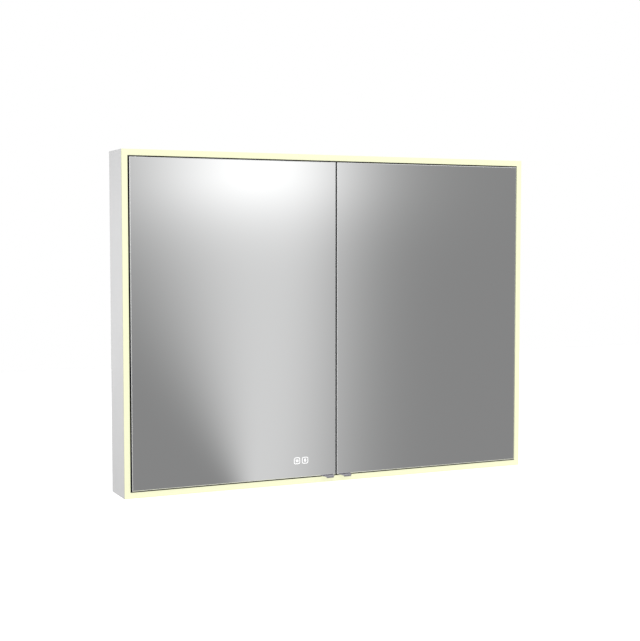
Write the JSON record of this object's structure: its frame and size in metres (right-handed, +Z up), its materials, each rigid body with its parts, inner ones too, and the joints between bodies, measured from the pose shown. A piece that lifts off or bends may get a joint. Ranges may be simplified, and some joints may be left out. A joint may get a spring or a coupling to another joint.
{
  "type": "mirror cabinet",
  "caption": "Wall-hung bathroom cabinet in a lit frame, with hinged mirror doors, glass shelves, finger tabs and touch symbols.",
  "frame": {"origin": "centre of the four wall-fixing holes, on the wall plane behind the cabinet, at half its width and half its height", "axes": "+X to the right seen from the room, along the cabinet's width; +Y into the wall; +Z up; the doors face -Y"},
  "size_m": [1, 0.1125, 0.745],
  "materials": {
    "anodised_profile": "satin",
    "door_profile": "satin",
    "cast_cleat": "matte",
    "white_enamel": "satin",
    "white_aluminium": "satin",
    "zinc_steel": "satin",
    "screw_steel": "satin",
    "pin_steel": "polished",
    "dark_enamel": "matte",
    "opal_diffuser": "satin",
    "mirror_glass": "polished",
    "shelf_glass": "polished",
    "tab_metal": "satin",
    "dark_plastic": "matte",
    "white_plastic": "satin",
    "clear_silicone": "satin",
    "black_rubber": "matte",
    "board_white": "satin",
    "board_green": "satin",
    "chip_phosphor": "gloss",
    "film_amber": "gloss",
    "honeycomb": "matte",
    "etched_symbol": "matte"
  },
  "bodies": {
    "cabinet": {"left_side_profile": "anodised_profile", "right_side_profile": "anodised_profile", "top_profile": "anodised_profile", "bottom_profile": "anodised_profile", "corner_cleats": "cast_cleat", "carcase_screws": "screw_steel", "back_panel": "white_aluminium", "centre_partition": "white_aluminium", "left_diffuser": "opal_diffuser", "right_diffuser": "opal_diffuser", "top_diffuser": "opal_diffuser", "bottom_diffuser": "opal_diffuser", "light_boards": "board_white", "light_chips": "chip_phosphor", "left_upper_shelf": "shelf_glass", "left_lower_shelf": "shelf_glass", "right_upper_shelf": "shelf_glass", "right_lower_shelf": "shelf_glass", "shelf_pins": "pin_steel", "shelf_pin_sleeves": "clear_silicone", "upper_hinge_plates": "dark_enamel", "lower_hinge_plates": "dark_enamel", "hinge_pins": "pin_steel", "hinge_washers": "white_plastic", "hinge_screws": "screw_steel", "catch_housings": "dark_plastic", "catch_magnets": "pin_steel", "door_bumpers": "clear_silicone", "driver_cover": "white_enamel", "light_driver": "white_plastic", "terminal_block": "white_plastic", "light_lead": "white_plastic", "cover_screws": "screw_steel", "mains_grommet": "black_rubber", "wall_rail": "zinc_steel", "hook_rail": "zinc_steel", "lower_wall_brackets": "zinc_steel", "rail_rivets": "screw_steel", "access_caps": "white_plastic"},
    "left_door": {"left_front_mirror": "mirror_glass", "left_rear_mirror": "mirror_glass", "left_door_frame": "door_profile", "left_door_core": "honeycomb", "left_hinge_blocks": "dark_plastic", "left_handle": "tab_metal", "left_handle_screws": "screw_steel", "left_strike_plates": "zinc_steel", "demist_film": "film_amber", "touch_board": "board_green", "touch_icons": "etched_symbol"},
    "right_door": {"right_front_mirror": "mirror_glass", "right_rear_mirror": "mirror_glass", "right_door_frame": "door_profile", "right_door_core": "honeycomb", "right_hinge_blocks": "dark_plastic", "right_handle": "tab_metal", "right_handle_screws": "screw_steel", "right_strike_plates": "zinc_steel"}
  },
  "joints": [
    {"name": "left_door_hinge", "type": "hinge", "parent": "cabinet", "child": "left_door", "pos_m": [-0.47, -0.091, 0], "axis": [0, 0, -1], "range_deg": [0, 110]},
    {"name": "right_door_hinge", "type": "hinge", "parent": "cabinet", "child": "right_door", "pos_m": [0.47, -0.091, 0], "axis": [0, 0, 1], "range_deg": [0, 110]}
  ]
}
